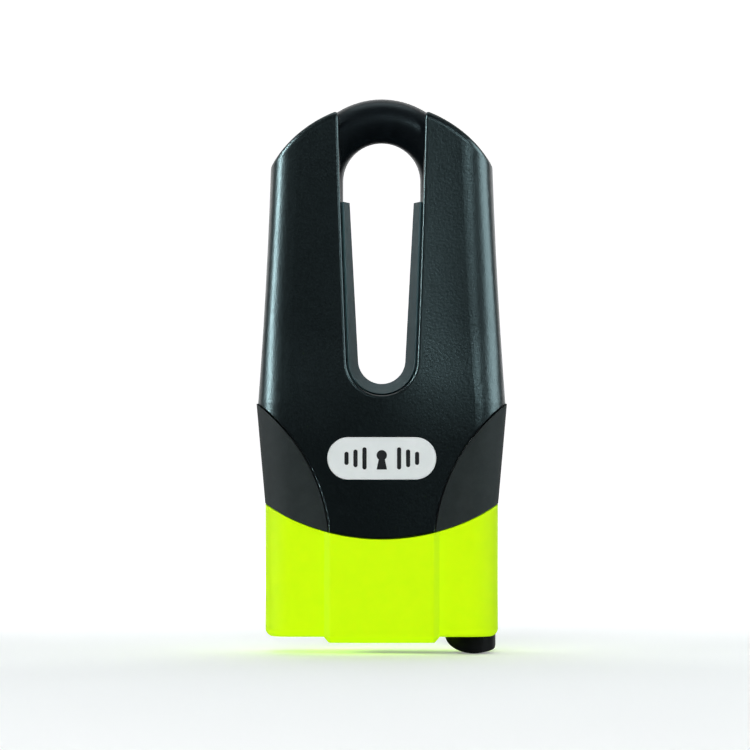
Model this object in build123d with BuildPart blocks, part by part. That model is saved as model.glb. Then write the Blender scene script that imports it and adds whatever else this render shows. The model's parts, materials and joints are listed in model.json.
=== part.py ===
from build123d import *
import os
from math import atan, atan2, cos, degrees, hypot, radians, sin, sqrt, tan

# Disc brake lock: a steel U-shackle whose legs run down two hollow horns into a steel lock body.
# Frame, in millimetres: +X right, -Y front, +Z up. The origin is the centre of the lock's footprint,
# at the height of its lowest point, the thumb tab of the keyhole cover.

os.makedirs("parts", exist_ok=True)

# ---- Driving dimensions ----

# Shackle
bar_r = 6.5  # a 13 mm bar
leg_x = 17.75  # leg axis from the middle, and the radius of the bend's centre line
bend_z = 137.2  # centre of the bend
leg_foot_z = 29.25
leg_chamfer = 1.5

# Shell of the two covers
shell_round = 9.0  # large rounding along the horns' outer edges
shell_top_round = 2.2
rim_round = 0.9  # small rounding where the slot meets the faces
seam_round = 0.6
shell_foot = (36.0, 72.25)  # half-width and height where the shell meets the shoulder seam
shell_waist = (33.75, 107.5)
horn_corner_x = 32.35
dome_r = 37.5  # arc over both horn tops
dome_z = 122.5
body_y = 19.6  # half-depth of the central band
face_lean = 5.4  # degrees that each horn face leans inwards
face_top_y = 11.2
face_top_z = 158.0
face_arc_r = 280.0  # large arc that joins the leaning face to the upright band

# Slot between the horns
slot_z = 85.1  # centre of the rounded bottom
rim_r = 10.25
rim_spread = 0.0421  # how much the half-width grows per millimetre of height
rim_top = (13.05, 172.0)
liner_gap = 0.1  # between the liner's middle and the slot's walls
liner_lip_gap = 0.55  # groove that shows around the liner's front and rear lips
liner_lip_deep = 2.5
liner_mouth_r = 10.1
liner_clear_r = 6.9
liner_clear_spread = 0.053
liner_top_z = 131.1
liner_inset = 1.6  # below the faces of the covers

# Shoulder seam and smile-shaped casing seam
shoulder_outer = (38.0, 73.9)  # just beyond the shell's side
shoulder_middle = (25.24, 61.54)
shoulder_inner_x = 15.3
smile_r = 62.0
smile_z = 33.35
seam_gap = 0.3

# Side panels and lower casing
panel_low = (33.9, 43.5)
panel_high = (36.3, 71.0)
side_y = 18.0  # half-depth beside the central band
panel_round = 8.5
casing_x = 33.8
casing_round = 8.0
casing_foot_z = 4.9
casing_foot_round = 2.4
band_x = 15.9
band_foot_z = 3.25
band_round = 1.0
band_foot_round = 0.8
band_foot_taper = 40.0

# Steel lock body
block_x = 30.0
block_y = 15.5
block_foot_z = 10.25
block_top_z = 67.25
block_round = 5.0
block_gap = 0.1  # between the block and what surrounds it
leg_bore_r = 6.6
leg_bore_foot_z = 12.25
channel_r = 6.7  # channel of the shackle in the horns

# Key cylinder, on the lock's axis
housing_r = 8.98
cylinder_bore_r = 9.0
housing_top_z = 40.0
plug_bore_r = 6.5
plug_r = 6.44
plug_foot_z = 12.2
plug_top_z = 38.8
disc_space_r = 5.2
disc_space_top_z = 35.0
disc_r = 5.1
disc_count = 10
disc_thick = 1.6
spacer_thick = 0.6
keyway_r = 2.4
keyway_flat = 1.1
sidebar_wide = 1.7
sidebar_in = 4.75
sidebar_out = 6.35
shaft_r = 2.5
shaft_top_z = 54.0
retaining_pin_r = 1.25
retaining_pin_z = 20.0

# Cam and bolts
bolt_z = 47.25
bolt_r = 4.5
bolt_bore_r = 4.55
bolt_throw = 3.1
bolt_tip_x = 11.1
cam_waist_r = 3.7
cam_tall = 10.0
cam_gap = 0.35  # between the cam and the bolts
cam_chamber_r = 7.4
cam_chamber_top_z = 55.5
bolt_nose_r = 1.3  # flat end of the pointed nose that rides on the cam
bolt_nose_round = 1.1
bolt_chamfer = 0.4
notch_gap = 0.2  # around a thrown bolt in its shackle notch
circlip_wide = 1.2
circlip_thick = 0.8
bore_plug_in_x = 25.0

# Ejector
plunger_r = 6.52
plunger_tall = 4.0
spring_r = 4.6
spring_wire_r = 0.6
spring_turns = 5

# Badge
badge_long = 31.6
badge_tall = 12.3
badge_z = 56.7
badge_floor_y = 18.85
badge_thick = 0.6
badge_fit = 0.12
symbol_hole_r = 1.5  # keyhole: round top and a tapered skirt
symbol_hole_z = badge_z + 0.9
symbol_skirt = (3.0, 3.6, 78)
symbol_skirt_z = badge_z - 1.4
symbol_bar_wide = 1.2
symbol_bars = [(5.0, 6.4), (7.6, 5.1), (10.2, 3.8)]  # place and height of each bar beside the keyhole

# Screws
screw_r = 1.5
screw_clear_r = 1.6
screw_head_r = 2.7
screw_head_tall = 2.4
screw_pocket_r = 3.0
screw_socket = 2.5  # across the flats
screw_socket_deep = 1.3
cover_screw_seat_y = 9.0
cover_screw_long = 16.0
cover_screw_spots = [(28.0, 80.0), (-28.0, 80.0), (27.6, 128.0), (-27.6, 128.0)]
casing_screw_seat_z = 7.9
casing_screw_long = 11.0
casing_screw_spots = [(-26.0, -9.0), (-26.0, 9.0), (27.0, 10.0)]

# Keyhole cover
pivot = (25.9, -6.0)
cover_disc_r = 6.0
cover_hub_r = 6.5
cover_low_z = 5.3
cover_high_z = 7.4
cover_swing = 27.0
pocket_top_z = 7.8
pocket_gap = 0.5
keyhole_r = 7.2
tab_r = 7.35
tab_left_x = 18.45
tab_right_x = 33.2
tab_low_x = 27.0
tab_edge_x = 33.0
tab_edge_z = 1.7
tab_toe = [(29.6, 0.3), (31.9, 0.85)]
tab_corner_z = 2.6
tab_root_z = 5.1
pivot_pin_r = 1.75
pivot_pin_foot_z = 2.2
pivot_hole_r = 1.8
pivot_hole_foot_z = 2.0

# ---- Shapes that several pieces share ----

face_bend_y = body_y - face_arc_r * (1 - cos(radians(face_lean)))
face_bend_z = face_top_z - (face_bend_y - face_top_y) / tan(radians(face_lean))
face_flat_z = face_bend_z - face_arc_r * sin(radians(face_lean))
above_z = 175.0  # clear of the lock's top
beyond = 45.0  # clear of the lock's sides
below_z = 20.0  # lowest height at which the shell's form starts
panel_top_z = 87.5  # clear of the side panels' tops
edge_y = 12.0  # edges further out than this belong to the front and rear faces


def side_profile(inset):
    """Front-to-back outline: upright at the body, then leaning inwards up the horns."""
    lean_y = face_top_y - inset - (above_z - face_top_z) * tan(radians(face_lean))
    with BuildSketch(Plane.YZ) as profile:
        with BuildLine():
            Line((0, below_z), (body_y - inset, below_z))
            Line((body_y - inset, below_z), (body_y - inset, face_flat_z))
            TangentArc((body_y - inset, face_flat_z), (face_bend_y - inset, face_bend_z), tangent=(0, 1))
            Line((face_bend_y - inset, face_bend_z), (lean_y, above_z))
            Line((lean_y, above_z), (0, above_z))
            mirror(about=Plane.YZ)
        make_face()
    return profile.sketch


def slot_outline(depth, bottom_r, spread, top_z, top_x=None):
    """Slot at a depth in front of the middle: round bottom, and sides that spread straight or curve in."""
    tilt = atan(spread)
    foot = (bottom_r * cos(tilt), slot_z - bottom_r * sin(tilt))
    straight_x = foot[0] + (top_z - foot[1]) * spread
    with BuildSketch(Plane.XZ.offset(depth)) as slot:
        with BuildLine():
            ThreePointArc((-foot[0], foot[1]), (0, slot_z - bottom_r), foot)
            if top_x:
                side = TangentArc(foot, (top_x, top_z), tangent=(spread, 1))
            else:
                side = Line(foot, (straight_x, top_z))
            mirror(side, about=Plane.YZ)
            Line(side @ 1, (-(side @ 1).X, top_z))
        make_face()
    return slot.sketch


def smile_height(x, lift):
    """Height of the casing seam at x, raised by lift."""
    return smile_z + smile_r + lift - sqrt(smile_r**2 - x**2)


def shoulder_points(gap):
    """Outer, middle and inner points of the right shoulder seam, moved outwards by gap."""
    slant = gap / sqrt(2)
    outer = (shoulder_outer[0] + slant, shoulder_outer[1] - slant)
    middle = (shoulder_middle[0] + slant, shoulder_middle[1] - slant)
    inner = (shoulder_inner_x + gap, smile_height(shoulder_inner_x + gap, gap / 2))
    return outer, middle, inner


def block_room(foot_z):
    """Footprint of the room for the steel lock body, at a height."""
    with BuildSketch(Plane.XY.offset(foot_z)) as room:
        RectangleRounded(2 * (block_x + block_gap), 2 * (block_y + block_gap), block_round)
    return room.sketch


def keyway(height):
    """Round keyway with one flat side, at a height."""
    with BuildSketch(Plane.XY.offset(height)) as hole:
        Circle(keyway_r)
        with Locations((0, -keyway_r)):
            Rectangle(2 * keyway_r, 2 * (keyway_r - keyway_flat), mode=Mode.SUBTRACT)
    return hole.sketch


def polar(radius, angle):
    """Point at a radius and an angle in degrees."""
    return (radius * cos(radians(angle)), radius * sin(radians(angle)))


# ---- Shell form: both covers in one ----

with BuildPart() as shell_form:
    with BuildSketch(Plane.XZ):
        with BuildLine():
            Line((0, below_z), (shell_foot[0], below_z))
            Line((shell_foot[0], below_z), shell_foot)
            horn_corner = (horn_corner_x, dome_z + sqrt(dome_r**2 - horn_corner_x**2))
            side_arc = ThreePointArc(shell_foot, shell_waist, horn_corner)
            run_up = PolarLine(horn_corner, above_z - horn_corner[1], direction=side_arc % 1)
            Line(run_up @ 1, (0, (run_up @ 1).Y))
            mirror(about=Plane.YZ)
        make_face()
    extrude(amount=beyond, both=True)
    extrude(side_profile(0), amount=beyond, both=True, mode=Mode.INTERSECT)
    outer_edges = shell_form.edges().filter_by(
        lambda e: abs(e.center().X) > horn_corner_x - shell_top_round and abs(e.center().Y) > channel_r
    )
    fillet(outer_edges, shell_round)
    with BuildSketch(Plane.XZ):
        with Locations((0, dome_z)):
            Circle(dome_r)
            Rectangle(2 * dome_r, dome_z, align=(Align.CENTER, Align.MAX))
    extrude(amount=beyond, both=True, mode=Mode.INTERSECT)
    fillet(shell_form.faces().filter_by(GeomType.CYLINDER).sort_by(Axis.Z)[-1].edges(), shell_top_round)

    # Slot for the brake disc
    rim_outline = slot_outline(0, rim_r, rim_spread, rim_top[1], rim_top[0])
    extrude(rim_outline, amount=beyond, both=True, mode=Mode.SUBTRACT)

    # Everything below the shoulder and smile seams belongs to other pieces
    with BuildSketch(Plane.XZ):
        outer, middle, inner = shoulder_points(0)
        with BuildLine():
            Line((beyond, 0), (beyond, outer[1] + beyond - outer[0]))
            Line((beyond, outer[1] + beyond - outer[0]), outer)
            ThreePointArc(outer, middle, inner)
            ThreePointArc(inner, (0, smile_height(0, 0)), (-inner[0], inner[1]))
            ThreePointArc((-inner[0], inner[1]), (-middle[0], middle[1]), (-outer[0], outer[1]))
            Line((-outer[0], outer[1]), (-beyond, outer[1] + beyond - outer[0]))
            Line((-beyond, outer[1] + beyond - outer[0]), (-beyond, 0))
            Line((-beyond, 0), (beyond, 0))
        make_face()
    extrude(amount=beyond, both=True, mode=Mode.SUBTRACT)

    rim_edges = shell_form.edges().filter_by(
        lambda e: abs(e.center().X) < rim_top[0] + rim_round and e.center().Z > slot_z - rim_r - rim_round
        and (abs(e.center().Y) > channel_r or e.center().Z > bend_z)
    )
    fillet(rim_edges, rim_round)
    seam_edges = shell_form.edges().filter_by(
        lambda e: e.center().Z < shell_foot[1] - 2 * seam_round and abs(e.center().Y) > edge_y
        and e.geom_type != GeomType.LINE
    )
    fillet(seam_edges, seam_round)

    # Room for the lock body, and the open-topped channel that the shackle lifts out of
    extrude(block_room(below_z), amount=block_top_z + block_gap - below_z, mode=Mode.SUBTRACT)
    with BuildSketch(Plane.XY.offset(block_top_z)):
        with Locations((leg_x, 0), (-leg_x, 0)):
            Circle(channel_r)
    extrude(amount=above_z - block_top_z, mode=Mode.SUBTRACT)
    with BuildSketch(Plane.XY.offset(bend_z)):
        with Locations((leg_x, 0)):
            Circle(channel_r)
    revolve(axis=Axis((0, 0, bend_z), (0, -1, 0)), revolution_arc=180, mode=Mode.SUBTRACT)
    with BuildSketch(Plane.XZ):
        with BuildLine():
            ThreePointArc((leg_x, bend_z), (0, bend_z + leg_x), (-leg_x, bend_z))
            Polyline((-leg_x, bend_z), (-leg_x, above_z), (leg_x, above_z), (leg_x, bend_z))
        make_face()
    extrude(amount=channel_r, both=True, mode=Mode.SUBTRACT)

# ---- Covers ----

with BuildPart() as front_cover:
    add(shell_form.part)
    split(bisect_by=Plane.XZ, keep=Keep.TOP)
    with BuildSketch(Plane.XZ.offset(badge_floor_y)):
        with Locations((0, badge_z)):
            SlotOverall(badge_long + 2 * badge_fit, badge_tall + 2 * badge_fit)
    extrude(amount=body_y - badge_floor_y + 1, mode=Mode.SUBTRACT)
    with BuildSketch(Plane.XZ):
        with Locations(*cover_screw_spots):
            Circle(screw_r)
    extrude(amount=cover_screw_long - cover_screw_seat_y, mode=Mode.SUBTRACT)
front_cover.part.label = "front_cover"

with BuildPart() as rear_cover:
    add(shell_form.part)
    split(bisect_by=Plane.XZ, keep=Keep.BOTTOM)
    with BuildSketch(Plane.XZ):
        with Locations(*cover_screw_spots):
            Circle(screw_clear_r)
    extrude(amount=-beyond, mode=Mode.SUBTRACT)
    with BuildSketch(Plane.XZ.offset(-cover_screw_seat_y)):
        with Locations(*cover_screw_spots):
            Circle(screw_pocket_r)
    extrude(amount=-beyond, mode=Mode.SUBTRACT)
rear_cover.part.label = "rear_cover"

# ---- Liner of the disc slot ----

with BuildPart() as liner_lips:
    lip_outline = slot_outline(0, rim_r - liner_lip_gap, rim_spread, rim_top[1], rim_top[0] - liner_lip_gap)
    extrude(lip_outline, amount=beyond, both=True)
    extrude(side_profile(liner_inset), amount=beyond, both=True, mode=Mode.INTERSECT)

with BuildPart() as slot_liner:
    liner_outline = slot_outline(0, rim_r - liner_gap, rim_spread, rim_top[1], rim_top[0] - liner_gap)
    extrude(liner_outline, amount=beyond, both=True)
    extrude(side_profile(liner_inset + liner_lip_deep), amount=beyond, both=True, mode=Mode.INTERSECT)
    add(liner_lips.part)
    clear_outline = slot_outline(0, liner_clear_r, liner_clear_spread, above_z)
    for mouth_y in (-body_y, body_y):
        mouth_outline = slot_outline(mouth_y, liner_mouth_r, rim_spread, above_z)
        loft([clear_outline.faces()[0], mouth_outline.faces()[0]], mode=Mode.SUBTRACT)
    with BuildSketch(Plane.XY.offset(block_top_z)):
        with Locations((leg_x, 0), (-leg_x, 0)):
            Circle(channel_r)
    extrude(amount=above_z - block_top_z, mode=Mode.SUBTRACT)
    split(bisect_by=Plane.XY.offset(liner_top_z), keep=Keep.BOTTOM)
slot_liner.part.label = "slot_liner"

# ---- Side panels ----

with BuildPart() as right_side_panel:
    with BuildSketch(Plane.XZ):
        flare = (panel_high[0] - panel_low[0]) / (panel_high[1] - panel_low[1])
        top_x = panel_low[0] + flare * (panel_top_z - panel_low[1])
        low_x = panel_low[0] - flare * (panel_low[1] - below_z)
        with BuildLine():
            Polyline((0, below_z), (low_x, below_z), (top_x, panel_top_z), (0, panel_top_z), (0, below_z))
        make_face()
    extrude(amount=side_y, both=True)
    corner_edges = right_side_panel.edges().filter_by(
        lambda e: e.center().X > block_x and abs(e.center().Y) > edge_y
    )
    fillet(corner_edges, panel_round)
    with BuildSketch(Plane.XZ):
        outer, middle, inner = shoulder_points(seam_gap)
        between_x = (inner[0] + beyond) / 2
        between = (between_x, smile_height(between_x, seam_gap / 2))
        far = (beyond, smile_height(beyond, seam_gap / 2))
        with BuildLine():
            ThreePointArc(outer, middle, inner)
            ThreePointArc(inner, between, far)
            Line(far, (beyond, outer[1] + beyond - outer[0]))
            Line((beyond, outer[1] + beyond - outer[0]), outer)
        make_face()
    extrude(amount=beyond, both=True, mode=Mode.INTERSECT)
    extrude(block_room(below_z), amount=above_z - below_z, mode=Mode.SUBTRACT)
right_side_panel.part.label = "right_side_panel"

with BuildPart() as left_side_panel:
    add(mirror(right_side_panel.part, about=Plane.YZ, mode=Mode.PRIVATE))
left_side_panel.part.label = "left_side_panel"

# ---- Lower casing ----

with BuildPart() as lower_casing:
    with BuildSketch(Plane.XY.offset(casing_foot_z)):
        RectangleRounded(2 * casing_x, 2 * side_y, casing_round)
    extrude(amount=beyond)
    fillet(lower_casing.faces().sort_by(Axis.Z)[0].edges(), casing_foot_round)
    band_slope = body_y - side_y
    band_edge = [(band_x - band_slope / 2, body_y), (band_x + band_slope / 2, side_y)]
    for rise, taper in ((beyond, 0), (band_foot_z - casing_foot_z, band_foot_taper)):
        with BuildSketch(Plane.XY.offset(casing_foot_z)):
            with BuildLine():
                Polyline((0, body_y), *band_edge, (band_edge[1][0], 0))
                mirror(about=Plane.YZ)
                mirror(about=Plane.XZ)
            make_face()
        extrude(amount=rise, taper=taper)
    band_edges = lower_casing.edges().filter_by(
        lambda e: abs(abs(e.center().Y) - body_y) < 0.01 and e.center().Z < beyond
    )
    fillet(band_edges, band_round)
    fillet(lower_casing.faces().sort_by(Axis.Z)[0].edges(), band_foot_round)
    with BuildSketch(Plane.XZ):
        side = (beyond, smile_height(beyond, -seam_gap / 2))
        with BuildLine():
            ThreePointArc(side, (0, smile_height(0, -seam_gap / 2)), (-side[0], side[1]))
            Polyline((-side[0], side[1]), (-beyond, 2 * beyond), (beyond, 2 * beyond), side)
        make_face()
    extrude(amount=beyond, both=True, mode=Mode.SUBTRACT)
    extrude(block_room(block_foot_z - block_gap), amount=beyond, mode=Mode.SUBTRACT)

    # Fan-shaped pocket of the keyhole cover, and the keyhole above it
    reach = hypot(*pivot)
    rest_angle = degrees(atan2(-pivot[1], -pivot[0]))
    for turn in (0, -cover_swing):
        disc_spot = polar(reach, rest_angle + turn)
        with BuildSketch(Plane.XY):
            with Locations((pivot[0] + disc_spot[0], pivot[1] + disc_spot[1])):
                Circle(cover_disc_r + pocket_gap)
            with Locations(pivot):
                Circle(cover_hub_r + pocket_gap)
            make_hull()
        extrude(amount=pocket_top_z, mode=Mode.SUBTRACT)
    with BuildSketch(Plane.XY):
        with Locations(pivot):
            Circle(tab_r + pocket_gap)
        fan_r = reach + cover_disc_r + pocket_gap
        fan = [polar(fan_r, rest_angle + turn) for turn in (0, -cover_swing / 2, -cover_swing)]
        fan = [(pivot[0] + x, pivot[1] + y) for x, y in fan]
        with BuildLine():
            ThreePointArc(*fan)
            Line(fan[2], pivot)
            Line(pivot, fan[0])
        make_face()
    extrude(amount=pocket_top_z, mode=Mode.SUBTRACT)
    with BuildSketch(Plane.XY):
        Circle(keyhole_r)
    extrude(amount=block_foot_z, mode=Mode.SUBTRACT)

    # Pin hole and screw pockets
    with BuildSketch(Plane.XY):
        with Locations(pivot):
            Circle(pivot_pin_r)
        with Locations(*casing_screw_spots):
            Circle(screw_clear_r)
    extrude(amount=block_foot_z, mode=Mode.SUBTRACT)
    with BuildSketch(Plane.XY):
        with Locations(*casing_screw_spots):
            Circle(screw_pocket_r)
    extrude(amount=casing_screw_seat_z, mode=Mode.SUBTRACT)
lower_casing.part.label = "lower_casing"

# ---- Badge ----

with BuildPart() as badge_plate:
    with BuildSketch(Plane.XZ.offset(badge_floor_y)):
        with Locations((0, badge_z)):
            SlotOverall(badge_long, badge_tall)
    extrude(amount=badge_thick)
    fillet(badge_plate.faces().sort_by(Axis.Y)[0].edges(), badge_thick / 3)
badge_plate.part.label = "badge_plate"

with BuildPart() as badge_symbol:
    with BuildSketch(Plane.XZ.offset(badge_floor_y + badge_thick)):
        with Locations((0, symbol_hole_z)):
            Circle(symbol_hole_r)
        with Locations((0, symbol_skirt_z)):
            Trapezoid(*symbol_skirt)
        for bar_x, bar_tall in symbol_bars:
            with Locations((bar_x, badge_z), (-bar_x, badge_z)):
                SlotOverall(bar_tall, symbol_bar_wide, rotation=90)
    extrude(amount=badge_fit)
badge_symbol.part.label = "badge_symbol"

# ---- Steel lock body ----

with BuildPart() as lock_body:
    with BuildSketch(Plane.XY.offset(block_foot_z)):
        RectangleRounded(2 * block_x, 2 * block_y, block_round)
    extrude(amount=block_top_z - block_foot_z)
    with BuildSketch(Plane.XY.offset(leg_bore_foot_z)):
        with Locations((leg_x, 0), (-leg_x, 0)):
            Circle(leg_bore_r)
    extrude(amount=block_top_z - leg_bore_foot_z, mode=Mode.SUBTRACT)
    with BuildSketch(Plane.XY.offset(block_foot_z)):
        Circle(cylinder_bore_r)
    extrude(amount=housing_top_z - block_foot_z, mode=Mode.SUBTRACT)
    with BuildSketch(Plane.XY.offset(housing_top_z)):
        Circle(cam_chamber_r)
    extrude(amount=cam_chamber_top_z - housing_top_z, mode=Mode.SUBTRACT)
    with BuildSketch(Plane.YZ):
        with Locations((0, bolt_z)):
            Circle(bolt_bore_r)
    extrude(amount=block_x, both=True, mode=Mode.SUBTRACT)
    with BuildSketch(Plane.XZ):
        with Locations((cylinder_bore_r, retaining_pin_z)):
            Circle(retaining_pin_r)
    extrude(amount=block_y, both=True, mode=Mode.SUBTRACT)
    with BuildSketch(Plane.XY.offset(block_foot_z)):
        with Locations(*casing_screw_spots):
            Circle(screw_r)
    extrude(amount=casing_screw_seat_z + casing_screw_long - block_foot_z, mode=Mode.SUBTRACT)
lock_body.part.label = "lock_body"

with BuildPart() as right_bore_plug:
    with BuildSketch(Plane.YZ.offset(bore_plug_in_x)):
        with Locations((0, bolt_z)):
            Circle(bolt_bore_r)
    extrude(amount=block_x - bore_plug_in_x)
right_bore_plug.part.label = "right_bore_plug"

with BuildPart() as left_bore_plug:
    add(mirror(right_bore_plug.part, about=Plane.YZ, mode=Mode.PRIVATE))
left_bore_plug.part.label = "left_bore_plug"

# ---- Key cylinder ----

with BuildPart() as cylinder_housing:
    with BuildSketch(Plane.XY.offset(block_foot_z)):
        Circle(housing_r)
    extrude(amount=housing_top_z - block_foot_z)
    with BuildSketch(Plane.XY.offset(block_foot_z)):
        Circle(plug_bore_r)
    extrude(amount=plug_top_z + block_gap - block_foot_z, mode=Mode.SUBTRACT)
    with BuildSketch(Plane.XY.offset(block_foot_z)):
        Circle(shaft_r + block_gap)
    extrude(amount=housing_top_z - block_foot_z, mode=Mode.SUBTRACT)
    with BuildSketch(Plane.XZ):
        with Locations((cylinder_bore_r, retaining_pin_z)):
            Circle(retaining_pin_r)
    extrude(amount=block_y, both=True, mode=Mode.SUBTRACT)
cylinder_housing.part.label = "cylinder_housing"

with BuildPart() as cylinder_retaining_pin:
    with BuildSketch(Plane.XZ):
        with Locations((cylinder_bore_r, retaining_pin_z)):
            Circle(retaining_pin_r)
    extrude(amount=block_y - block_gap, both=True)
    chamfer(cylinder_retaining_pin.edges().filter_by(GeomType.CIRCLE), retaining_pin_r / 4)
cylinder_retaining_pin.part.label = "cylinder_retaining_pin"

with BuildPart() as drill_shield:
    with BuildSketch(Plane.XY.offset(block_foot_z + block_gap)):
        Circle(plug_r)
    extrude(amount=plug_foot_z - block_foot_z - 2 * block_gap)
    extrude(keyway(block_foot_z), amount=plug_foot_z - block_foot_z, mode=Mode.SUBTRACT)
drill_shield.part.label = "drill_shield"

with BuildPart() as cylinder_plug:
    with BuildSketch(Plane.XY.offset(plug_foot_z)):
        Circle(plug_r)
    extrude(amount=plug_top_z - plug_foot_z)
    with BuildSketch(Plane.XY.offset(plug_top_z)):
        Circle(shaft_r)
    extrude(amount=shaft_top_z - plug_top_z)
    with BuildSketch(Plane.XY.offset(plug_foot_z)):
        Circle(disc_space_r)
        with Locations((0, disc_space_r)):
            Rectangle(sidebar_wide + block_gap, 2 * (plug_r - disc_space_r + block_gap))
    extrude(amount=disc_space_top_z - plug_foot_z, mode=Mode.SUBTRACT)
cylinder_plug.part.label = "cylinder_plug"


def disc_stack(first_z, thick, count):
    """Notched discs on the lock's axis, one every disc and spacer."""
    with BuildPart() as stack:
        for index in range(count):
            foot_z = first_z + index * (disc_thick + spacer_thick)
            with BuildSketch(Plane.XY.offset(foot_z)):
                Circle(disc_r)
                with Locations((0, disc_r)):
                    Rectangle(sidebar_wide + 2 * block_gap, 2 * (disc_r - sidebar_in + block_gap),
                              mode=Mode.SUBTRACT)
            extrude(amount=thick)
            extrude(keyway(foot_z), amount=thick, mode=Mode.SUBTRACT)
    return stack.part


with BuildPart() as detainer_discs:
    add(disc_stack(plug_foot_z + block_gap, disc_thick, disc_count))
detainer_discs.part.label = "detainer_discs"

with BuildPart() as spacer_discs:
    add(disc_stack(plug_foot_z + block_gap + disc_thick, spacer_thick, disc_count - 1))
spacer_discs.part.label = "spacer_discs"

with BuildPart() as sidebar:
    with BuildSketch(Plane.XY.offset(plug_foot_z + block_gap)):
        with Locations((0, (sidebar_in + sidebar_out) / 2)):
            Rectangle(sidebar_wide, sidebar_out - sidebar_in)
    extrude(amount=disc_space_top_z - plug_foot_z - 2 * block_gap)
    fillet(sidebar.edges().filter_by(Axis.Z), sidebar_wide / 5)
sidebar.part.label = "sidebar"

# ---- Cam and bolts ----

with BuildPart() as locking_cam:
    with BuildSketch(Plane.XY.offset(bolt_z - cam_tall / 2)):
        with BuildLine():
            quarter = [polar(cam_waist_r + bolt_throw * turn / 90, turn) for turn in (0, 22.5, 45, 67.5, 90)]
            Spline(*quarter)
            Line(quarter[-1], (0, 0))
            Line((0, 0), quarter[0])
        make_face()
        mirror(about=Plane.YZ)
        mirror(about=Plane.XZ)
        Circle(shaft_r, mode=Mode.SUBTRACT)
    extrude(amount=cam_tall)
locking_cam.part.label = "locking_cam"

with BuildPart() as cam_circlip:
    with BuildSketch(Plane.XY.offset(bolt_z + cam_tall / 2)):
        Circle(shaft_r + circlip_wide)
        Circle(shaft_r, mode=Mode.SUBTRACT)
        with Locations((0, -shaft_r)):
            Rectangle(shaft_r, 2 * shaft_r, mode=Mode.SUBTRACT)
    extrude(amount=circlip_thick)
cam_circlip.part.label = "cam_circlip"

with BuildPart() as right_bolt:
    bolt_in_x = cam_waist_r + cam_gap
    with BuildSketch(Plane.YZ.offset(bolt_in_x)):
        with Locations((0, bolt_z)):
            Circle(bolt_r)
    extrude(amount=bolt_tip_x - bolt_in_x)
    chamfer(right_bolt.faces().sort_by(Axis.X)[0].edges(), bolt_r - bolt_nose_r)
    fillet(right_bolt.faces().sort_by(Axis.X)[0].edges(), bolt_nose_round)
    chamfer(right_bolt.faces().sort_by(Axis.X)[-1].edges(), bolt_chamfer)
right_bolt.part.label = "right_bolt"

with BuildPart() as left_bolt:
    add(mirror(right_bolt.part, about=Plane.YZ, mode=Mode.PRIVATE))
left_bolt.part.label = "left_bolt"

# ---- Shackle ----

with BuildPart() as shackle:
    with BuildSketch(Plane.XY.offset(leg_foot_z)):
        with Locations((leg_x, 0), (-leg_x, 0)):
            Circle(bar_r)
    extrude(amount=bend_z - leg_foot_z)
    with BuildSketch(Plane.XY.offset(bend_z)):
        with Locations((leg_x, 0)):
            Circle(bar_r)
    revolve(axis=Axis((0, 0, bend_z), (0, -1, 0)), revolution_arc=180)
    chamfer(shackle.faces().filter_by(Axis.Z).edges(), leg_chamfer)
    with BuildSketch(Plane.YZ):
        with Locations((0, bolt_z)):
            Circle(bolt_r + notch_gap)
    extrude(amount=bolt_tip_x + bolt_throw + notch_gap, both=True, mode=Mode.SUBTRACT)
shackle.part.label = "shackle"

# ---- Ejector: a sprung cup under each leg ----


def ejector(side):
    """Plunger and spring in the leg bore on one side."""
    foot_z = leg_foot_z - plunger_tall
    with BuildPart() as plunger:
        with BuildSketch(Plane.XY.offset(foot_z)):
            with Locations((side * leg_x, 0)):
                Circle(plunger_r)
        extrude(amount=plunger_tall)
        chamfer(plunger.edges().sort_by(Axis.Z)[-1], block_gap * 4)
    with BuildPart() as spring:
        rise = foot_z - leg_bore_foot_z - 2 * spring_wire_r
        coil_foot = (side * leg_x, 0, leg_bore_foot_z + spring_wire_r)
        with BuildLine() as coil:
            Helix(rise / spring_turns, rise, spring_r, center=coil_foot)
        with BuildSketch(Plane(origin=coil.line @ 0, z_dir=coil.line % 0)):
            Circle(spring_wire_r)
        sweep(path=coil.line, is_frenet=True)
    return plunger.part, spring.part


with BuildPart() as right_plunger:
    add(ejector(1)[0])
right_plunger.part.label = "right_plunger"

with BuildPart() as right_ejector_spring:
    add(ejector(1)[1])
right_ejector_spring.part.label = "right_ejector_spring"

with BuildPart() as left_plunger:
    add(ejector(-1)[0])
left_plunger.part.label = "left_plunger"

with BuildPart() as left_ejector_spring:
    add(ejector(-1)[1])
left_ejector_spring.part.label = "left_ejector_spring"

# ---- Screws and pins ----

with BuildPart() as cover_screws:
    with BuildSketch(Plane.XZ.offset(-cover_screw_seat_y)):
        with Locations(*cover_screw_spots):
            Circle(screw_r)
    extrude(amount=cover_screw_long - block_gap)
    with BuildSketch(Plane.XZ.offset(-cover_screw_seat_y)):
        with Locations(*cover_screw_spots):
            Circle(screw_head_r)
    extrude(amount=-screw_head_tall)
    with BuildSketch(Plane.XZ.offset(-cover_screw_seat_y - screw_head_tall)):
        with Locations(*cover_screw_spots):
            RegularPolygon(screw_socket / 2, 6, major_radius=False)
    extrude(amount=screw_socket_deep, mode=Mode.SUBTRACT)
cover_screws.part.label = "cover_screws"

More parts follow.
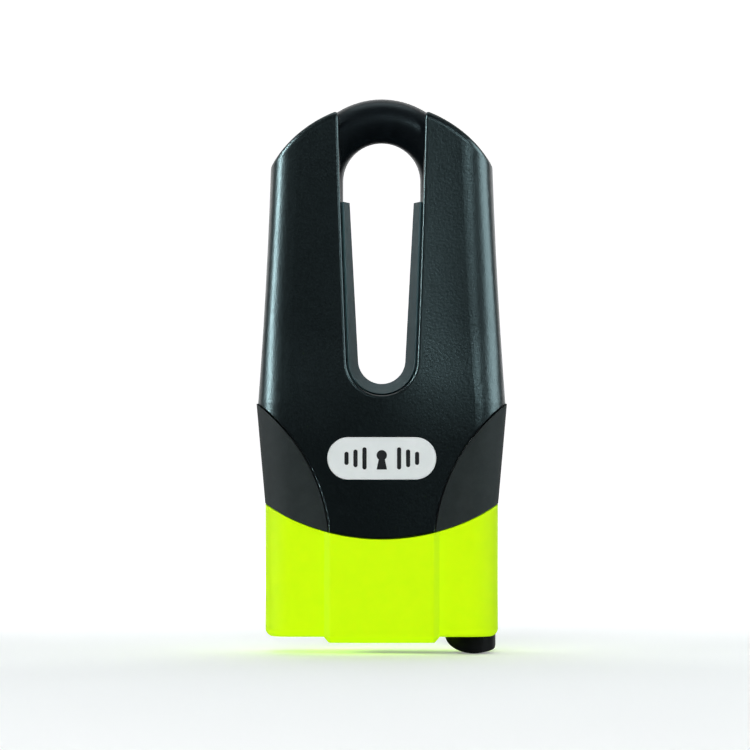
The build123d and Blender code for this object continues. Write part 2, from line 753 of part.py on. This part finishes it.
with BuildPart() as casing_screws:
    with BuildSketch(Plane.XY.offset(casing_screw_seat_z)):
        with Locations(*casing_screw_spots):
            Circle(screw_r)
    extrude(amount=casing_screw_long - block_gap)
    with BuildSketch(Plane.XY.offset(casing_screw_seat_z)):
        with Locations(*casing_screw_spots):
            Circle(screw_head_r)
    extrude(amount=-screw_head_tall)
    with BuildSketch(Plane.XY.offset(casing_screw_seat_z - screw_head_tall)):
        with Locations(*casing_screw_spots):
            RegularPolygon(screw_socket / 2, 6, major_radius=False)
    extrude(amount=screw_socket_deep, mode=Mode.SUBTRACT)
casing_screws.part.label = "casing_screws"

with BuildPart() as cover_pivot_pin:
    with BuildSketch(Plane.XY.offset(pivot_pin_foot_z)):
        with Locations(pivot):
            Circle(pivot_pin_r)
    extrude(amount=block_foot_z - block_gap - pivot_pin_foot_z)
cover_pivot_pin.part.label = "cover_pivot_pin"

# ---- Keyhole cover: disc, arm and domed thumb tab in one ----

with BuildPart() as keyhole_cover:
    with BuildSketch(Plane.XZ.offset(-pivot[1])):
        with BuildLine():
            EllipticalCenterArc((tab_low_x, tab_root_z), tab_low_x - tab_left_x, tab_root_z,
                                start_angle=180, arc_size=90)
            Spline((tab_low_x, 0), *tab_toe, (tab_edge_x, tab_edge_z), tangents=[(1, 0), (0.3, 1)])
            Polyline((tab_edge_x, tab_edge_z), (tab_right_x, tab_corner_z), (tab_right_x, cover_low_z),
                     (tab_left_x, cover_low_z), (tab_left_x, tab_root_z))
        make_face()
    extrude(amount=tab_r, both=True)
    with BuildSketch(Plane.XY):
        with Locations((tab_left_x + tab_r, pivot[1])):
            Circle(tab_r)
    extrude(amount=cover_low_z, mode=Mode.INTERSECT)
    with BuildSketch(Plane.XY.offset(cover_low_z)):
        Circle(cover_disc_r)
        with Locations(pivot):
            Circle(cover_hub_r)
        make_hull()
    extrude(amount=cover_high_z - cover_low_z)
    with BuildSketch(Plane.XY.offset(pivot_hole_foot_z)):
        with Locations(pivot):
            Circle(pivot_hole_r)
    extrude(amount=cover_high_z, mode=Mode.SUBTRACT)
keyhole_cover.part.label = "keyhole_cover"

# ---- Write every piece ----

pieces = [
    front_cover, rear_cover, slot_liner, left_side_panel, right_side_panel, lower_casing,
    badge_plate, badge_symbol, lock_body, left_bore_plug, right_bore_plug,
    cylinder_housing, cylinder_retaining_pin, drill_shield, cylinder_plug, detainer_discs,
    spacer_discs, sidebar, locking_cam, cam_circlip, left_bolt, right_bolt, shackle,
    left_plunger, right_plunger, left_ejector_spring, right_ejector_spring,
    cover_screws, casing_screws, cover_pivot_pin, keyhole_cover,
]
for piece in pieces:
    export_step(piece.part, f"parts/{piece.part.label}.step")
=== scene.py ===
import json
import math

import bmesh
import bpy
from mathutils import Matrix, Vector


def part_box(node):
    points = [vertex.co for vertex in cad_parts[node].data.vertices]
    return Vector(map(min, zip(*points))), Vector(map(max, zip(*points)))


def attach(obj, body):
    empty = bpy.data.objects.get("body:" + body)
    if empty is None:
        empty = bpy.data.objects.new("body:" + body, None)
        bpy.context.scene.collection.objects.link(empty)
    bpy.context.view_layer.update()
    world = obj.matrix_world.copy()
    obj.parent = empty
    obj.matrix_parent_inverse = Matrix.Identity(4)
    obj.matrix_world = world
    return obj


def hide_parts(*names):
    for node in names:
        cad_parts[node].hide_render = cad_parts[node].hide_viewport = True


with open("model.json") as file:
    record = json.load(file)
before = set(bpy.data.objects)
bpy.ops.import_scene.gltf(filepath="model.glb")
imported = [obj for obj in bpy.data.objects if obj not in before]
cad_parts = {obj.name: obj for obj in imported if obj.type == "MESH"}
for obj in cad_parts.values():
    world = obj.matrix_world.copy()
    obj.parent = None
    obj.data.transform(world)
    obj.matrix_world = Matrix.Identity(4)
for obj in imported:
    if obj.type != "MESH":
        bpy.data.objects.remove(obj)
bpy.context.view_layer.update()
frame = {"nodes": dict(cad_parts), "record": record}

MM = 0.001


# ---- Finishes ----

NOISE_LOW, NOISE_HIGH = 0.3, 0.7  # a noise's values nearly all lie between these
NOISE_ROUGHNESS = 0.55
TINT_LOW, TINT_HIGH = 0.32, 0.68


def shader_of(material):
    """The material's one shader node."""
    return material.node_tree.nodes["Principled BSDF"]


def finish(name, colour, roughness, **more):
    """A material with its plain values on the shader's own sockets, as in specular_ior_level=0.3."""
    material = bpy.data.materials.new(name)
    material.use_nodes = True
    shader = shader_of(material)
    shader.inputs["Base Color"].default_value = (*colour, 1)
    shader.inputs["Roughness"].default_value = roughness
    for socket, value in more.items():
        shader.inputs[socket.replace("_", " ").title().replace("Ior", "IOR")].default_value = value
    return material


def add_node(material, kind, **values):
    """A new node with some of its own settings."""
    node = material.node_tree.nodes.new(kind)
    for name, value in values.items():
        setattr(node, name, value)
    return node


def link(material, out, into):
    """Join one node's output to another's input."""
    material.node_tree.links.new(out, into)


def surface_point(material, stretch=(1, 1, 1)):
    """Object coordinates, stretched along the axes for brushed or drawn finishes."""
    place = add_node(material, "ShaderNodeTexCoord")
    mapping = add_node(material, "ShaderNodeMapping")
    mapping.inputs["Scale"].default_value = stretch
    link(material, place.outputs["Object"], mapping.inputs["Vector"])
    return mapping.outputs["Vector"]


def noise(material, point, grain_mm, detail=3.0, seed=0.0):
    """Noise whose lumps are about grain_mm across."""
    texture = add_node(material, "ShaderNodeTexNoise", noise_dimensions="4D")
    texture.inputs["W"].default_value = seed
    texture.inputs["Scale"].default_value = 1 / (grain_mm * MM)
    texture.inputs["Detail"].default_value = detail
    texture.inputs["Roughness"].default_value = NOISE_ROUGHNESS
    link(material, point, texture.inputs["Vector"])
    return texture.outputs["Fac"]


def spread(material, value, low, high):
    """Map the middle of a noise's range to low..high."""
    ramp = add_node(material, "ShaderNodeMapRange", clamp=True)
    ramp.inputs["From Min"].default_value = NOISE_LOW
    ramp.inputs["From Max"].default_value = NOISE_HIGH
    ramp.inputs["To Min"].default_value = low
    ramp.inputs["To Max"].default_value = high
    link(material, value, ramp.inputs["Value"])
    return ramp.outputs["Result"]


def tint(material, value, dark, light):
    """Colour that runs from dark to light with a noise."""
    ramp = add_node(material, "ShaderNodeValToRGB")
    ramp.color_ramp.elements[0].position = TINT_LOW
    ramp.color_ramp.elements[0].color = (*dark, 1)
    ramp.color_ramp.elements[1].position = TINT_HIGH
    ramp.color_ramp.elements[1].color = (*light, 1)
    link(material, value, ramp.inputs["Fac"])
    link(material, ramp.outputs["Color"], shader_of(material).inputs["Base Color"])


def bump(material, value, height_mm, strength=1.0, under=None):
    """Relief of up to height_mm, on top of another relief if there is one."""
    node = add_node(material, "ShaderNodeBump")
    node.inputs["Strength"].default_value = strength
    node.inputs["Distance"].default_value = height_mm * MM
    link(material, value, node.inputs["Height"])
    if under:
        link(material, under, node.inputs["Normal"])
    return node.outputs["Normal"]


# ---- Moulded plastics ----

MOTTLE_PER_GRAIN = 9  # the mottling is this many times as broad as the grain
FLOW_MM = 14.0  # breadth of the slight waves that the mould leaves
FLOW_DEEP_MM = 0.05
FLOW_STRENGTH = 0.15


def moulded(name, dark, light, roughness, grain_mm, deep_mm, **more):
    """Moulded plastic with a spark-eroded grain, faint mottling and uneven gloss."""
    material = finish(name, light, sum(roughness) / 2, **more)
    point = surface_point(material)
    grain = noise(material, point, grain_mm, detail=2.0)
    mottle = noise(material, point, grain_mm * MOTTLE_PER_GRAIN, detail=4.0, seed=3.0)
    flow = noise(material, point, FLOW_MM, detail=2.0, seed=7.0)
    tint(material, mottle, dark, light)
    link(material, spread(material, grain, *roughness), shader_of(material).inputs["Roughness"])
    wavy = bump(material, flow, FLOW_DEEP_MM, FLOW_STRENGTH)
    link(material, bump(material, grain, deep_mm, under=wavy), shader_of(material).inputs["Normal"])
    return material


shell_black = moulded("shell_black", (0.0009, 0.0014, 0.0018), (0.0016, 0.0024, 0.003),
                      roughness=(0.29, 0.37), grain_mm=0.7, deep_mm=0.05,
                      specular_tint=(0.72, 0.97, 1.0, 1))
# The liner is black, but its base colour is raised to a lit teal grey: painted light standing in for the
# light its flared walls catch.
liner_black = moulded("liner_black", (0.05, 0.1, 0.11), (0.066, 0.118, 0.13),
                      roughness=(0.6, 0.7), grain_mm=0.5, deep_mm=0.01,
                      specular_tint=(0.75, 0.97, 1.0, 1), specular_ior_level=0.05)
panel_grey = moulded("panel_grey", (0.014, 0.0195, 0.0195), (0.018, 0.025, 0.025),
                     roughness=(0.76, 0.86), grain_mm=0.28, deep_mm=0.015, specular_ior_level=0.3)
cover_black = moulded("cover_black", (0.0012, 0.0015, 0.002), (0.0024, 0.0028, 0.0035),
                      roughness=(0.28, 0.36), grain_mm=0.3, deep_mm=0.015, specular_ior_level=0.25)
plunger_black = moulded("plunger_black", (0.01, 0.01, 0.011), (0.018, 0.018, 0.019),
                        roughness=(0.45, 0.6), grain_mm=0.4, deep_mm=0.01)
badge_dark = moulded("badge_dark", (0.008, 0.009, 0.01), (0.016, 0.018, 0.02),
                     roughness=(0.3, 0.4), grain_mm=0.25, deep_mm=0.004)
# The casing's emission is a painted glow: it shines by itself as if lit, on top of its real fluorescent
# yellow colour, and throws that glow onto the floor.
casing_fluorescent = moulded("casing_fluorescent", (0.65, 0.97, 0.0004), (0.69, 0.99, 0.0008),
                             roughness=(0.46, 0.56), grain_mm=0.35, deep_mm=0.006, specular_ior_level=0.07,
                             emission_color=(0.5, 1.0, 0.001, 1), emission_strength=0.18)


# ---- Metals ----

LINES_UP = (1, 1, 0.04)  # how the tool marks are drawn out along the axes
LINES_ALONG_X = (0.04, 1, 1)
LINES_ROUND = (1, 1, 9)
TOOL_MARK_MM = 0.35
TOOL_MARK_DEEP_MM = 0.01
TOOL_MARK_STRENGTH = 0.6
STAIN_MM = 6.0


def metal(name, dark, light, roughness, tool_marks, metallic=1.0):
    """Machined or drawn metal with fine tool marks and faint stains."""
    material = finish(name, light, sum(roughness) / 2, metallic=metallic)
    lines = noise(material, surface_point(material, tool_marks), TOOL_MARK_MM, detail=4.0)
    stain = noise(material, surface_point(material), STAIN_MM, seed=5.0)
    tint(material, stain, dark, light)
    link(material, spread(material, lines, *roughness), shader_of(material).inputs["Roughness"])
    cut = bump(material, lines, TOOL_MARK_DEEP_MM, TOOL_MARK_STRENGTH)
    link(material, cut, shader_of(material).inputs["Normal"])
    return material


body_steel = metal("body_steel", (0.3, 0.3, 0.3), (0.42, 0.42, 0.42), (0.26, 0.42), LINES_UP)
hard_steel = metal("hard_steel", (0.38, 0.38, 0.38), (0.5, 0.5, 0.5), (0.2, 0.34), LINES_ROUND)
spring_steel = metal("spring_steel", (0.4, 0.4, 0.4), (0.55, 0.55, 0.55), (0.2, 0.3), LINES_ROUND)
cylinder_brass = metal("cylinder_brass", (0.5, 0.36, 0.15), (0.66, 0.5, 0.24), (0.22, 0.38), LINES_ROUND)
screw_zinc = metal("screw_zinc", (0.1, 0.1, 0.1), (0.2, 0.2, 0.2), (0.3, 0.45), LINES_ROUND)
badge_silver = metal("badge_silver", (0.9, 0.95, 0.95), (0.96, 1.0, 1.0), (0.3, 0.42), LINES_ALONG_X,
                     metallic=0.12)


# ---- The shackle's coating ----

COATING_GRAIN_MM = 0.5
COATING_GRAIN_DEEP_MM = 0.008
COATING_GRAIN_STRENGTH = 0.7
COATING_ROUGHNESS = (0.3, 0.42)
RUN_MM = 5.0
RUNS_DOWN = (1, 1, 0.3)  # the runs are drawn out down the legs
RUN_DEEP_MM = 0.06
RUN_STRENGTH = 0.2


def coated_steel():
    """Satin black coating with a fine grain and faint runs."""
    material = finish("shackle_coated", (0.003, 0.004, 0.006), 0.34, specular_tint=(0.75, 0.95, 1.0, 1),
                      specular_ior_level=0.25)
    grain = noise(material, surface_point(material), COATING_GRAIN_MM, detail=4.0)
    runs = noise(material, surface_point(material, RUNS_DOWN), RUN_MM, detail=2.0, seed=2.0)
    tint(material, runs, (0.0018, 0.0028, 0.004), (0.0035, 0.005, 0.007))
    link(material, spread(material, grain, *COATING_ROUGHNESS), shader_of(material).inputs["Roughness"])
    peel = bump(material, runs, RUN_DEEP_MM, RUN_STRENGTH)
    fine = bump(material, grain, COATING_GRAIN_DEEP_MM, COATING_GRAIN_STRENGTH, peel)
    link(material, fine, shader_of(material).inputs["Normal"])
    return material


# ---- A finish for every CAD piece ----

FINISH_OF_SLOT = {
    "shell_black": shell_black, "liner_black": liner_black, "panel_grey": panel_grey,
    "cover_black": cover_black, "plunger_black": plunger_black, "casing_fluorescent": casing_fluorescent,
    "body_steel": body_steel, "hard_steel": hard_steel, "spring_steel": spring_steel,
    "cylinder_brass": cylinder_brass, "screw_zinc": screw_zinc, "badge_silver": badge_silver,
    "badge_dark": badge_dark, "shackle_coated": coated_steel(),
}

slot_of_node = {part["node"]: part["material_slot"] for part in frame["record"]["subparts"]}
for node, cad_object in frame["nodes"].items():
    cad_object.data.materials.clear()
    cad_object.data.materials.append(FINISH_OF_SLOT[slot_of_node[node]])


# ---- The gentle side-to-side crown of the front ----

CROWN_SLOPE = 0.12  # steepest turn of the horn faces away from the middle
CROWN_REACH = 12 * MM  # how far from the middle they turn the most
CROWN_STEP = 1.5 * MM  # width of the upright strips that the front is sliced into
CROWN_FROM = 7.5 * MM  # nothing nearer the middle plane moves, so the shackle's channel keeps its shape
CROWN_LOW_Z = 62 * MM  # from here down, at the badge and the casing, the crown is only CROWN_LOW as strong
CROWN_HIGH_Z = 95 * MM  # from here up it has its full strength
CROWN_LOW = 0.4
FRONT_Y = -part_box("front_cover")[0].y
MERGE_WITHIN = 0.002 * MM
SLICE_WITHIN = 0.001 * MM


def smooth_rise(part):
    """A smooth rise from 0 to 1, and its slope."""
    part = min(max(part, 0), 1)
    return part * part * (3 - 2 * part), 6 * part * (1 - part)


def crown_drop(x):
    """How far back the front lies at x, and how fast that changes with x."""
    fall = math.exp((1 - (x / CROWN_REACH)**2) / 2)
    return CROWN_SLOPE * CROWN_REACH * (math.exp(0.5) - fall), CROWN_SLOPE * x / CROWN_REACH * fall


def crown_share(y):
    """How much of the drop a point at y takes, and how fast that changes with y."""
    depth = FRONT_Y - CROWN_FROM
    share, slope = smooth_rise((-y - CROWN_FROM) / depth)
    return share, -slope / depth


def crown_height(z):
    """How much of the drop a point at z takes, and how fast that changes with z."""
    span = CROWN_HIGH_Z - CROWN_LOW_Z
    rise, slope = smooth_rise((z - CROWN_LOW_Z) / span)
    return CROWN_LOW + (1 - CROWN_LOW) * rise, (1 - CROWN_LOW) * slope / span


def crown_normal(place, normal):
    """The true surface normal after the crown has moved its point."""
    drop, drop_rate = crown_drop(place.x)
    share, share_rate = crown_share(place.y)
    height, height_rate = crown_height(place.z)
    y = normal.y / (1 + drop * share_rate * height)
    x = normal.x - drop_rate * share * height * y
    z = normal.z - drop * share * height_rate * y
    return Vector((x, y, z)).normalized()


def crowned_piece(node, name, body):
    """A CAD piece with the crown: sliced into upright strips, moved, and given exact normals."""
    source = frame["nodes"][node]
    data = source.data.copy()
    data.name = name
    kept = data.attributes.new("true_normal", "FLOAT_VECTOR", "CORNER")
    for index, corner in enumerate(source.data.corner_normals):
        kept.data[index].vector = corner.vector
    mesh = bmesh.new()
    mesh.from_mesh(data)
    bmesh.ops.remove_doubles(mesh, verts=mesh.verts[:], dist=MERGE_WITHIN)
    strips = int(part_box(node)[1].x / CROWN_STEP) + 1
    for index in range(-strips, strips + 1):
        everything = mesh.verts[:] + mesh.edges[:] + mesh.faces[:]
        bmesh.ops.bisect_plane(mesh, geom=everything, plane_co=(index * CROWN_STEP, 0, 0),
                               plane_no=(1, 0, 0), dist=SLICE_WITHIN)
    bmesh.ops.triangulate(mesh, faces=[face for face in mesh.faces if len(face.verts) > 4])
    layer = mesh.loops.layers.float_vector["true_normal"]
    for face in mesh.faces:
        face.smooth = True
        for corner in face.loops:
            corner[layer] = crown_normal(corner.vert.co, Vector(corner[layer]).normalized())
    for vert in mesh.verts:
        vert.co.y += crown_drop(vert.co.x)[0] * crown_share(vert.co.y)[0] * crown_height(vert.co.z)[0]
    mesh.to_mesh(data)
    mesh.free()
    normals = [tuple(corner.vector) for corner in data.attributes["true_normal"].data]
    data.attributes.remove(data.attributes["true_normal"])
    data.normals_split_custom_set(normals)
    piece = bpy.data.objects.new(name, data)
    bpy.context.scene.collection.objects.link(piece)
    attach(piece, body)
    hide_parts(node)


for node, name in (("front_cover", "front_shell"), ("lower_casing", "casing_shell"),
                   ("badge_plate", "badge_face"), ("badge_symbol", "badge_emblem")):
    crowned_piece(node, name, "lock")


# ---- Floor and surround ----

ROOM_HALF = 1.5  # the floor's half width, and how far it runs behind the lock
FLOOR_DROP = 0.2 * MM  # the floor lies this far below the lock
FLOOR_FRONT_Y = -1.2
FLOOR_GRAIN_MM = 40.0
BACKDROP_START_Y = 0.3
BACKDROP_Y = 1.0
BACKDROP_TOP_Z = 1.6
BACKDROP_BEND_R = 0.5
BACKDROP_BEND_STEPS = 12
GLOW_BY_THE_LOCK = 0.25
GLOW_FAR_AWAY = 1.0
DOME_R = 5.0
DOME_FLOOR_R = 0.99 * DOME_R
DOME_FLOOR_Z = -2 * MM
DOME_POLE_R = 1 * MM
DOME_SIDES = 48
DOME_STEP_DEG = 10
DOME_GRAIN_MM = 400.0
WHITE = (1, 1, 1, 1)


def hide_from(thing, *rays):
    """Keep a thing out of some kinds of ray: camera, glossy, diffuse or shadow."""
    for kind in rays:
        setattr(thing, "visible_" + kind, False)


def studio_white():
    """Pale floor with a barely visible grain, glowing away from the lock so that the background is even."""
    material = finish("studio_white", (0.9, 0.91, 0.91), 0.9, emission_color=WHITE)
    point = surface_point(material)
    tint(material, noise(material, point, FLOOR_GRAIN_MM), (0.88, 0.89, 0.89), (0.91, 0.92, 0.92))
    split = add_node(material, "ShaderNodeSeparateXYZ")
    aside = add_node(material, "ShaderNodeMath", operation="ABSOLUTE")
    link(material, point, split.inputs["Vector"])
    link(material, split.outputs["X"], aside.inputs[0])
    backwards = (split.outputs["Y"], 0.02, 0.5)  # the place, where the glow starts to grow, where it is full
    sideways = (aside.outputs["Value"], 0.45, 1.0)
    forwards = (split.outputs["Y"], -0.6, -1.1)
    strength = None
    for place, start, full in (backwards, sideways, forwards):
        glow = add_node(material, "ShaderNodeMapRange", clamp=True, interpolation_type="SMOOTHSTEP")
        glow.inputs["From Min"].default_value = start
        glow.inputs["From Max"].default_value = full
        glow.inputs["To Min"].default_value = GLOW_BY_THE_LOCK
        glow.inputs["To Max"].default_value = GLOW_FAR_AWAY
        link(material, place, glow.inputs["Value"])
        if strength:
            link(material, strength, glow.inputs["To Min"])
        strength = glow.outputs["Result"]
    link(material, strength, shader_of(material).inputs["Emission Strength"])
    return material


def studio_pale():
    """Even white of the dome, which shows only where the floor ends."""
    material = finish("studio_pale", (0.9, 0.9, 0.9), 1.0, emission_color=WHITE, emission_strength=1.0)
    grain = noise(material, surface_point(material), DOME_GRAIN_MM)
    tint(material, grain, (0.86, 0.87, 0.88), (0.9, 0.91, 0.92))
    return material


def studio_piece(name, verts, faces, material):
    """A smooth mesh that belongs to the studio and not to the lock."""
    data = bpy.data.meshes.new(name)
    data.from_pydata(verts, [], faces)
    for face in data.polygons:
        face.use_smooth = True
    data.materials.append(material)
    piece = bpy.data.objects.new(name, data)
    bpy.context.scene.collection.objects.link(piece)
    return piece


def sheet(name, profile, material):
    """A wide sheet swept along a side-on profile of (y, z) points."""
    verts = [(side * ROOM_HALF, y, z - FLOOR_DROP) for side in (-1, 1) for y, z in profile]
    count = len(profile)
    faces = [(i, i + count, i + count + 1, i + 1) for i in range(count - 1)]
    return studio_piece(name, verts, faces, material)


def studio_sweep():
    """Pale floor, and a curved backdrop that isn't seen itself but shows in reflections and by its light."""
    bend_y = BACKDROP_Y - BACKDROP_BEND_R
    curve = [(BACKDROP_START_Y, 0.0), (bend_y, 0.0)]
    for step in range(1, BACKDROP_BEND_STEPS + 1):
        angle = math.radians(90 * step / BACKDROP_BEND_STEPS)
        curve.append((bend_y + BACKDROP_BEND_R * math.sin(angle), BACKDROP_BEND_R * (1 - math.cos(angle))))
    curve.append((BACKDROP_Y, BACKDROP_TOP_Z))
    near_floor = [(FLOOR_FRONT_Y, 0.0), (BACKDROP_START_Y, 0.0)]
    far_floor = [(BACKDROP_START_Y, 0.0), (ROOM_HALF, 0.0)]
    material = studio_white()
    hide_from(sheet("studio_backdrop", curve, material), "camera")
    hide_from(sheet("studio_floor", near_floor, material), "glossy")
    hide_from(sheet("studio_far_floor", far_floor, material), "glossy", "diffuse", "shadow")


def studio_dome():
    """White dome and floor far outside, so that no view ends in the dark. It casts no light."""
    outline = [(DOME_POLE_R, DOME_FLOOR_Z), (DOME_FLOOR_R, DOME_FLOOR_Z)]
    for degrees in range(0, 90, DOME_STEP_DEG):
        angle = math.radians(degrees)
        outline.append((DOME_R * math.cos(angle), DOME_R * math.sin(angle)))
    outline.append((DOME_POLE_R, DOME_R))
    count = len(outline)
    verts = []
    faces = []
    for side in range(DOME_SIDES):
        turn = 2 * math.pi * side / DOME_SIDES
        verts += [(r * math.cos(turn), r * math.sin(turn), z) for r, z in outline]
        near = side * count
        far = (side + 1) % DOME_SIDES * count
        faces += [(near + i, near + i + 1, far + i + 1, far + i) for i in range(count - 1)]
    dome = studio_piece("studio_surround", verts, faces, studio_pale())
    hide_from(dome, "glossy", "diffuse", "shadow")


studio_sweep()
studio_dome()


# ---- Lights ----

COOL = (0.86, 0.97, 1.0)
LOCK_MIDDLE = (0, 0, 0.085)


def softbox(name, place, aim, size, power, colour=(1, 1, 1), hidden_from=()):
    """A rectangular lamp of size (width, height), turned towards the point it aims at."""
    light = bpy.data.lights.new(name, "AREA")
    light.shape = "RECTANGLE"
    light.size, light.size_y = size
    light.energy = power
    light.color = colour
    lamp = bpy.data.objects.new(name, light)
    lamp.location = place
    lamp.rotation_euler = (Vector(aim) - Vector(place)).to_track_quat("-Z", "Y").to_euler()
    hide_from(lamp, *hidden_from)
    bpy.context.scene.collection.objects.link(lamp)


softbox("left_strip", place=(-0.60, -0.14, 0.36), aim=(0, 0, 0.2), size=(0.06, 0.5), power=9.0,
        colour=COOL, hidden_from=["diffuse"])
softbox("right_wall", place=(0.46, -0.11, 0.27), aim=(0, 0, 0.15), size=(0.3, 0.36), power=3.2,
        colour=COOL, hidden_from=["diffuse"])
softbox("right_high", place=(0.31, -0.76, 0.41), aim=LOCK_MIDDLE, size=(0.18, 0.18), power=1.7,
        colour=COOL, hidden_from=["diffuse"])
softbox("left_high", place=(-0.31, -0.76, 0.41), aim=LOCK_MIDDLE, size=(0.18, 0.18), power=0.15,
        colour=COOL, hidden_from=["diffuse"])
softbox("front_fill", place=(-0.2, -1.2, 0.6), aim=LOCK_MIDDLE, size=(0.8, 0.6), power=8.0,
        hidden_from=["glossy"])
softbox("top_panel", place=(0.0, 0.12, 0.8), aim=LOCK_MIDDLE, size=(0.6, 0.3), power=1.3, colour=COOL)

world = bpy.data.worlds.new("studio_air")
world.use_nodes = True
world.node_tree.nodes["Background"].inputs["Color"].default_value = (0.9, 0.96, 1.0, 1)
world.node_tree.nodes["Background"].inputs["Strength"].default_value = 0.03
bpy.context.scene.world = world
bpy.context.scene.view_settings.view_transform = "Standard"


# ---- Camera ----

VIEW_FIELD = 219.4 * MM  # width of the view at the lock
VIEW_CENTRE_X = -1.96 * MM
VIEW_CENTRE_Z = 80.8 * MM
VIEW_DISTANCE = 1.6
SENSOR_MM = 36

camera_data = bpy.data.cameras.new("camera")
camera_data.sensor_width = SENSOR_MM
camera_data.lens = SENSOR_MM * VIEW_DISTANCE / VIEW_FIELD
camera_data.clip_start = 0.01
camera = bpy.data.objects.new("camera", camera_data)
camera.location = (VIEW_CENTRE_X, -VIEW_DISTANCE, VIEW_CENTRE_Z)
camera.rotation_euler = (math.radians(90), 0, 0)
bpy.context.scene.collection.objects.link(camera)
bpy.context.scene.camera = camera
